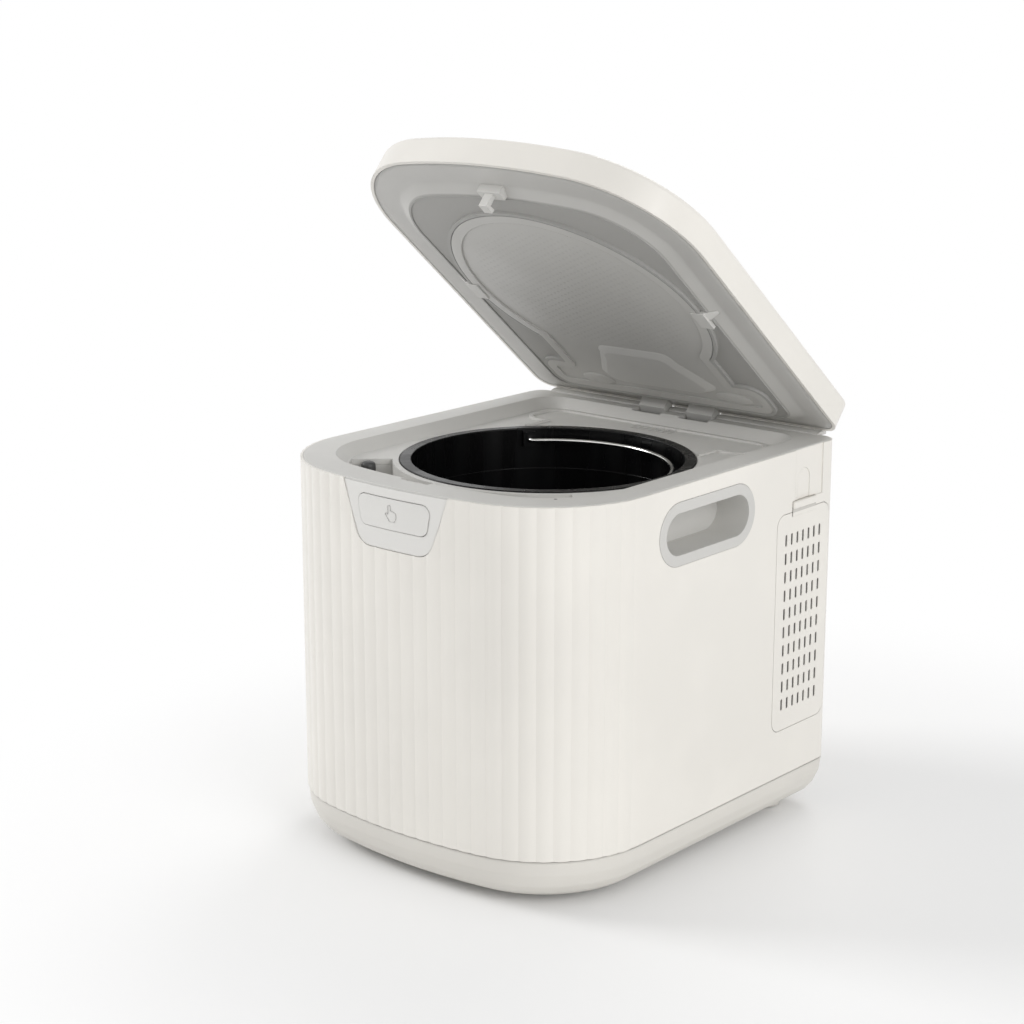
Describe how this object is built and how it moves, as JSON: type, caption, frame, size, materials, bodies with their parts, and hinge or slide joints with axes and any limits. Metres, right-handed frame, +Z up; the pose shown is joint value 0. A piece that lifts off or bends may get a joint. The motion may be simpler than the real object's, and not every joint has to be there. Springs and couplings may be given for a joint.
{
  "type": "electric food waste composter",
  "caption": "Boxy worktop composter: fluted shell, sunken deck round a lift-out bucket with bail, rear-hinged lid with push latch, side handles and a slide-out filter drawer.",
  "frame": {"origin": "on the surface that the feet stand on, in the middle of the box round the whole object with its lid standing open as pictured", "axes": "+Z up; -Y towards the front with the release button; +X towards the side with the filter drawer; lid hinge along X at the back"},
  "size_m": [0.2812, 0.3365, 0.4979],
  "materials": {
    "cream_plastic": "satin, faintly warm white",
    "grey_plastic": "satin warm grey",
    "liner_plastic": "fine matt grey",
    "cover_plastic": "satin grey",
    "skirt_plastic": "satin, a little darker than the shell",
    "cup_plastic": "satin",
    "filter_plastic": "satin",
    "dark_plastic": "moulded, matt",
    "inner_plastic": "moulded, matt",
    "rubber": "soft grey",
    "foot_rubber": "matt",
    "black_coating": "glossy non-stick coating",
    "steel": "brushed",
    "bright_steel": "polished wire",
    "zinc_steel": "zinc plated sheet",
    "cast_aluminium": "as cast",
    "insulation": "needled felt",
    "carbon": "black pleated filter",
    "nylon": "natural",
    "black_glass": "glossy touch panel",
    "circuit_board": "soldermask",
    "brass": "plain"
  },
  "bodies": {
    "housing": {"base_skirt": "skirt_plastic", "feet": "foot_rubber", "chassis_plate": "zinc_steel", "support_posts": "zinc_steel", "front_shell": "cream_plastic", "rear_panel": "cream_plastic", "rear_screws": "steel", "deck": "grey_plastic", "latch_housing": "grey_plastic", "button_springs": "steel", "lid_switch": "inner_plastic", "handle_cup_right": "cup_plastic", "handle_cup_left": "cup_plastic", "hinge_bracket": "zinc_steel", "hinge_pin": "steel", "friction_washers": "nylon", "chamber_liner": "cast_aluminium", "shaft_seal": "rubber", "heater_plate": "cast_aluminium", "thermal_jacket": "insulation", "temperature_sensor": "brass", "motor": "zinc_steel", "gearbox_case": "nylon", "gearbox_cover": "nylon", "drive_bearings": "steel", "intake_duct": "dark_plastic", "fan_frame": "dark_plastic", "filter_duct": "dark_plastic", "filter_housing": "inner_plastic", "power_inlet": "dark_plastic", "inlet_blades": "brass", "power_board": "circuit_board", "board_parts": "dark_plastic", "board_standoffs": "brass"},
    "lid": {"lid_shell": "cream_plastic", "lid_liner": "liner_plastic", "inner_cover": "cover_plastic", "lid_gasket": "rubber", "cover_clips": "dark_plastic", "latch_hook": "dark_plastic", "hinge_arms": "dark_plastic", "control_panel": "black_glass", "display_board": "circuit_board", "lid_magnet": "steel"},
    "release": {"release_button": "cream_plastic", "latch_slider": "nylon"},
    "bucket": {"bucket": "black_coating", "bucket_bush": "dark_plastic", "fixed_cutters": "steel", "bail_ears": "steel"},
    "bail": {"bail_handle": "bright_steel"},
    "agitator": {"agitator": "black_coating"},
    "drive": {"drive_shaft": "steel", "output_gear": "nylon"},
    "rotor": {"pinion_shaft": "steel"},
    "fan": {"fan_impeller": "dark_plastic"},
    "filter_drawer": {"filter_cover": "filter_plastic", "filter_tray": "inner_plastic", "carbon_filter": "carbon"},
    "filter_catch": {"filter_latch": "cup_plastic"}
  },
  "joints": [
    {"name": "lid_hinge", "type": "hinge", "parent": "housing", "child": "lid", "pos_m": [0, 0.1555, 0.268], "axis": [-1, 0, 0], "range_deg": [-40, 35]},
    {"name": "button_press", "type": "slide", "parent": "housing", "child": "release", "axis": [0, 1, 0], "range_m": [0, 0.003], "stiffness_N_per_m": 700, "springref_m": -0.002, "deforming": ["button_springs"]},
    {"name": "bucket_lift", "type": "slide", "parent": "housing", "child": "bucket", "axis": [0, 0, 1], "range_m": [0, 0.035]},
    {"name": "bail_swing", "type": "hinge", "parent": "bucket", "child": "bail", "pos_m": [0, -0.0055, 0.263], "axis": [0.7431, -0.6691, 0], "range_deg": [0, 180]},
    {"name": "motor_spin", "type": "hinge", "parent": "housing", "child": "rotor", "pos_m": [0.042, -0.0055, 0.06], "axis": [0, 0, 1], "continuous": true},
    {"name": "drive_spin", "type": "hinge", "parent": "housing", "child": "drive", "pos_m": [0, -0.0055, 0.06], "axis": [0, 0, 1], "continuous": true},
    {"name": "agitator_spin", "type": "hinge", "parent": "bucket", "child": "agitator", "pos_m": [0, -0.0055, 0.095], "axis": [0, 0, 1], "continuous": true},
    {"name": "fan_spin", "type": "hinge", "parent": "housing", "child": "fan", "pos_m": [0, 0.1248, 0.236], "axis": [0, 0, 1], "continuous": true},
    {"name": "filter_slide", "type": "slide", "parent": "housing", "child": "filter_drawer", "axis": [1, 0, 0], "range_m": [0, 0.045]},
    {"name": "filter_catch_press", "type": "slide", "parent": "filter_drawer", "child": "filter_catch", "axis": [0, 0, -1], "range_m": [0, 0.0025], "stiffness_N_per_m": 500, "springref_m": -0.002}
  ],
  "couplings": [
    {"joint": "drive_spin", "follows": "motor_spin", "ratio": -0.33333},
    {"joint": "agitator_spin", "follows": "motor_spin", "ratio": -0.33333}
  ]
}
